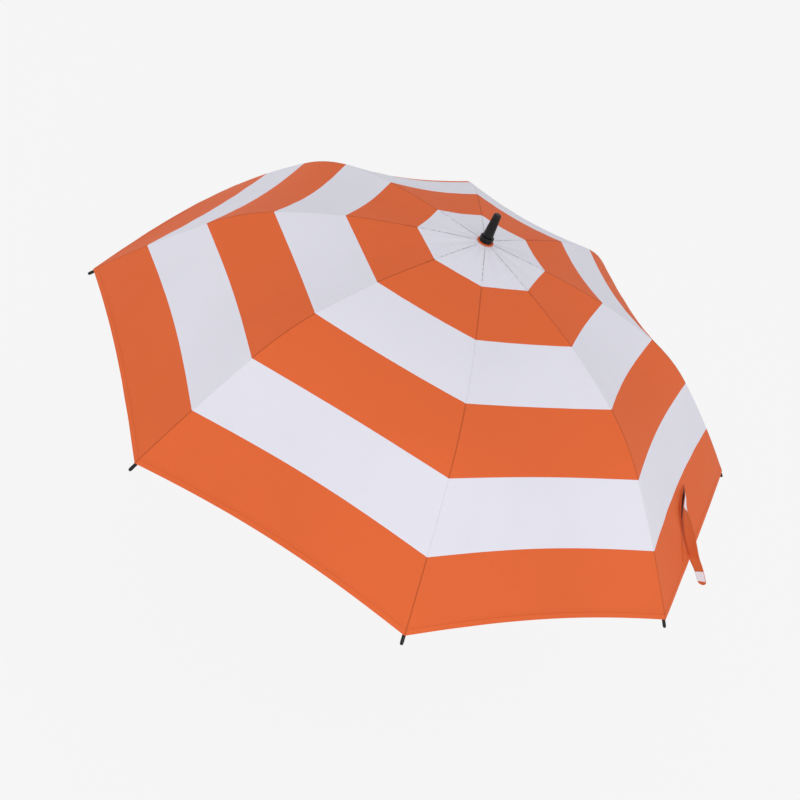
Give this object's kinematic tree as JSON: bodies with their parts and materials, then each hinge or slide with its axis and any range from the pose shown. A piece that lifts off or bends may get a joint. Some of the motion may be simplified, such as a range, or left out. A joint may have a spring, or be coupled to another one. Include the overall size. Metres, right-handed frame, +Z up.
{
  "type": "golf umbrella",
  "caption": "Open manual golf umbrella with an eight panel striped canopy, folding ribs and stretchers, a sliding runner with a release button, a ferrule and a straight grip.",
  "frame": {"origin": "centre of the handle's flat end, on which the part's lowest plane lies", "axes": "+Z up the shaft to the ferrule, +X under rib 1; the others follow counter-clockwise seen from above"},
  "size_m": [1.3154, 1.3154, 0.9725],
  "materials": {
    "canopy_fabric": "satin",
    "patch_fabric": "matte",
    "rod": "satin",
    "fitting": "satin",
    "wire": "satin",
    "grip": "matte"
  },
  "bodies": {
    "shaft_and_handle": {"shaft": "rod", "crown": "fitting", "crown_wire": "wire", "crown_washer": "canopy_fabric", "ferrule_collar": "fitting", "ferrule": "fitting", "open_catch": "wire", "closed_catch": "wire", "handle_core": "fitting", "handle_grip": "grip", "handle_end_cap": "fitting", "handle_collar": "fitting"},
    "rib_1": {"rib_1": "rod", "canopy_gore_1": "canopy_fabric"},
    "rib_outer_1": {"rib_outer_1": "rod", "rib_tip_1": "fitting"},
    "stretcher_1": {"stretcher_1": "rod"},
    "rib_2": {"rib_2": "rod", "canopy_gore_2": "canopy_fabric"},
    "rib_outer_2": {"rib_outer_2": "rod", "rib_tip_2": "fitting"},
    "stretcher_2": {"stretcher_2": "rod"},
    "rib_3": {"rib_3": "rod", "canopy_gore_3": "canopy_fabric"},
    "rib_outer_3": {"rib_outer_3": "rod", "rib_tip_3": "fitting"},
    "stretcher_3": {"stretcher_3": "rod"},
    "rib_4": {"rib_4": "rod", "canopy_gore_4": "canopy_fabric"},
    "rib_outer_4": {"rib_outer_4": "rod", "rib_tip_4": "fitting"},
    "stretcher_4": {"stretcher_4": "rod"},
    "rib_5": {"rib_5": "rod", "canopy_gore_5": "canopy_fabric"},
    "rib_outer_5": {"rib_outer_5": "rod", "rib_tip_5": "fitting"},
    "stretcher_5": {"stretcher_5": "rod"},
    "rib_6": {"rib_6": "rod", "canopy_gore_6": "canopy_fabric"},
    "rib_outer_6": {"rib_outer_6": "rod", "rib_tip_6": "fitting"},
    "stretcher_6": {"stretcher_6": "rod"},
    "rib_7": {"rib_7": "rod", "canopy_gore_7": "canopy_fabric"},
    "rib_outer_7": {"rib_outer_7": "rod", "rib_tip_7": "fitting"},
    "stretcher_7": {"stretcher_7": "rod"},
    "rib_8": {"rib_8": "rod", "canopy_gore_8": "canopy_fabric"},
    "rib_outer_8": {"rib_outer_8": "rod", "rib_tip_8": "fitting", "closure_strap": "canopy_fabric", "strap_hook_patch": "patch_fabric", "strap_loop_patch": "patch_fabric"},
    "stretcher_8": {"stretcher_8": "rod"},
    "runner": {"runner": "fitting", "runner_wire": "wire", "button_spring": "wire"},
    "runner_button": {"runner_button": "fitting"}
  },
  "joints": [
    {"name": "rib_1_fold", "type": "hinge", "parent": "shaft_and_handle", "child": "rib_1", "pos_m": [0.0125, 0, 0.9075], "axis": [0, 1, 0], "range_deg": [0, 74.5], "deforming": ["canopy_gore_1"]},
    {"name": "rib_1_flex", "type": "hinge", "parent": "rib_1", "child": "rib_outer_1", "pos_m": [0.38625, 0, 0.8213], "axis": [0, 1, 0], "range_deg": [-31.5, 0]},
    {"name": "stretcher_1_fold", "type": "hinge", "parent": "rib_1", "child": "stretcher_1", "pos_m": [0.3673, 0, 0.82232], "axis": [0, 1, 0], "range_deg": [-149, 0]},
    {"name": "rib_2_fold", "type": "hinge", "parent": "shaft_and_handle", "child": "rib_2", "pos_m": [0.00884, 0.00884, 0.9075], "axis": [-0.7071, 0.7071, 0], "range_deg": [0, 74.5], "deforming": ["canopy_gore_2"]},
    {"name": "rib_2_flex", "type": "hinge", "parent": "rib_2", "child": "rib_outer_2", "pos_m": [0.27312, 0.27312, 0.8213], "axis": [-0.7071, 0.7071, 0], "range_deg": [-31.5, 0]},
    {"name": "stretcher_2_fold", "type": "hinge", "parent": "rib_2", "child": "stretcher_2", "pos_m": [0.25972, 0.25972, 0.82232], "axis": [-0.7071, 0.7071, 0], "range_deg": [-149, 0]},
    {"name": "rib_3_fold", "type": "hinge", "parent": "shaft_and_handle", "child": "rib_3", "pos_m": [0, 0.0125, 0.9075], "axis": [-1, 0, 0], "range_deg": [0, 74.5], "deforming": ["canopy_gore_3"]},
    {"name": "rib_3_flex", "type": "hinge", "parent": "rib_3", "child": "rib_outer_3", "pos_m": [0, 0.38625, 0.8213], "axis": [-1, 0, 0], "range_deg": [-31.5, 0]},
    {"name": "stretcher_3_fold", "type": "hinge", "parent": "rib_3", "child": "stretcher_3", "pos_m": [0, 0.3673, 0.82232], "axis": [-1, 0, 0], "range_deg": [-149, 0]},
    {"name": "rib_4_fold", "type": "hinge", "parent": "shaft_and_handle", "child": "rib_4", "pos_m": [-0.00884, 0.00884, 0.9075], "axis": [-0.7071, -0.7071, 0], "range_deg": [0, 74.5], "deforming": ["canopy_gore_4"]},
    {"name": "rib_4_flex", "type": "hinge", "parent": "rib_4", "child": "rib_outer_4", "pos_m": [-0.27312, 0.27312, 0.8213], "axis": [-0.7071, -0.7071, 0], "range_deg": [-31.5, 0]},
    {"name": "stretcher_4_fold", "type": "hinge", "parent": "rib_4", "child": "stretcher_4", "pos_m": [-0.25972, 0.25972, 0.82232], "axis": [-0.7071, -0.7071, 0], "range_deg": [-149, 0]},
    {"name": "rib_5_fold", "type": "hinge", "parent": "shaft_and_handle", "child": "rib_5", "pos_m": [-0.0125, 0, 0.9075], "axis": [0, -1, 0], "range_deg": [0, 74.5], "deforming": ["canopy_gore_5"]},
    {"name": "rib_5_flex", "type": "hinge", "parent": "rib_5", "child": "rib_outer_5", "pos_m": [-0.38625, 0, 0.8213], "axis": [0, -1, 0], "range_deg": [-31.5, 0]},
    {"name": "stretcher_5_fold", "type": "hinge", "parent": "rib_5", "child": "stretcher_5", "pos_m": [-0.3673, 0, 0.82232], "axis": [0, -1, 0], "range_deg": [-149, 0]},
    {"name": "rib_6_fold", "type": "hinge", "parent": "shaft_and_handle", "child": "rib_6", "pos_m": [-0.00884, -0.00884, 0.9075], "axis": [0.7071, -0.7071, 0], "range_deg": [0, 74.5], "deforming": ["canopy_gore_6"]},
    {"name": "rib_6_flex", "type": "hinge", "parent": "rib_6", "child": "rib_outer_6", "pos_m": [-0.27312, -0.27312, 0.8213], "axis": [0.7071, -0.7071, 0], "range_deg": [-31.5, 0]},
    {"name": "stretcher_6_fold", "type": "hinge", "parent": "rib_6", "child": "stretcher_6", "pos_m": [-0.25972, -0.25972, 0.82232], "axis": [0.7071, -0.7071, 0], "range_deg": [-149, 0]},
    {"name": "rib_7_fold", "type": "hinge", "parent": "shaft_and_handle", "child": "rib_7", "pos_m": [0, -0.0125, 0.9075], "axis": [1, 0, 0], "range_deg": [0, 74.5], "deforming": ["canopy_gore_7"]},
    {"name": "rib_7_flex", "type": "hinge", "parent": "rib_7", "child": "rib_outer_7", "pos_m": [0, -0.38625, 0.8213], "axis": [1, 0, 0], "range_deg": [-31.5, 0]},
    {"name": "stretcher_7_fold", "type": "hinge", "parent": "rib_7", "child": "stretcher_7", "pos_m": [0, -0.3673, 0.82232], "axis": [1, 0, 0], "range_deg": [-149, 0]},
    {"name": "rib_8_fold", "type": "hinge", "parent": "shaft_and_handle", "child": "rib_8", "pos_m": [0.00884, -0.00884, 0.9075], "axis": [0.7071, 0.7071, 0], "range_deg": [0, 74.5], "deforming": ["canopy_gore_8"]},
    {"name": "rib_8_flex", "type": "hinge", "parent": "rib_8", "child": "rib_outer_8", "pos_m": [0.27312, -0.27312, 0.8213], "axis": [0.7071, 0.7071, 0], "range_deg": [-31.5, 0], "deforming": ["closure_strap", "strap_hook_patch", "strap_loop_patch"]},
    {"name": "stretcher_8_fold", "type": "hinge", "parent": "rib_8", "child": "stretcher_8", "pos_m": [0.25972, -0.25972, 0.82232], "axis": [0.7071, 0.7071, 0], "range_deg": [-149, 0]},
    {"name": "runner_pivot", "type": "hinge", "parent": "stretcher_1", "child": "runner", "pos_m": [0.0125, 0, 0.73715], "axis": [0, 1, 0], "range_deg": [0, 74.5]},
    {"name": "button_press", "type": "slide", "parent": "runner", "child": "runner_button", "axis": [0, 1, 0], "range_m": [0, 0.0012], "stiffness_N_per_m": 2000, "deforming": ["button_spring"]}
  ],
  "couplings": [
    {"joint": "rib_1_flex", "follows": "rib_1_fold", "ratio": -0.42282},
    {"joint": "stretcher_1_fold", "follows": "rib_1_fold", "ratio": -2},
    {"joint": "rib_2_fold", "follows": "rib_1_fold", "ratio": 1},
    {"joint": "rib_2_flex", "follows": "rib_1_fold", "ratio": -0.42282},
    {"joint": "stretcher_2_fold", "follows": "rib_1_fold", "ratio": -2},
    {"joint": "rib_3_fold", "follows": "rib_1_fold", "ratio": 1},
    {"joint": "rib_3_flex", "follows": "rib_1_fold", "ratio": -0.42282},
    {"joint": "stretcher_3_fold", "follows": "rib_1_fold", "ratio": -2},
    {"joint": "rib_4_fold", "follows": "rib_1_fold", "ratio": 1},
    {"joint": "rib_4_flex", "follows": "rib_1_fold", "ratio": -0.42282},
    {"joint": "stretcher_4_fold", "follows": "rib_1_fold", "ratio": -2},
    {"joint": "rib_5_fold", "follows": "rib_1_fold", "ratio": 1},
    {"joint": "rib_5_flex", "follows": "rib_1_fold", "ratio": -0.42282},
    {"joint": "stretcher_5_fold", "follows": "rib_1_fold", "ratio": -2},
    {"joint": "rib_6_fold", "follows": "rib_1_fold", "ratio": 1},
    {"joint": "rib_6_flex", "follows": "rib_1_fold", "ratio": -0.42282},
    {"joint": "stretcher_6_fold", "follows": "rib_1_fold", "ratio": -2},
    {"joint": "rib_7_fold", "follows": "rib_1_fold", "ratio": 1},
    {"joint": "rib_7_flex", "follows": "rib_1_fold", "ratio": -0.42282},
    {"joint": "stretcher_7_fold", "follows": "rib_1_fold", "ratio": -2},
    {"joint": "rib_8_fold", "follows": "rib_1_fold", "ratio": 1},
    {"joint": "rib_8_flex", "follows": "rib_1_fold", "ratio": -0.42282},
    {"joint": "stretcher_8_fold", "follows": "rib_1_fold", "ratio": -2},
    {"joint": "runner_pivot", "follows": "rib_1_fold", "ratio": 1}
  ]
}
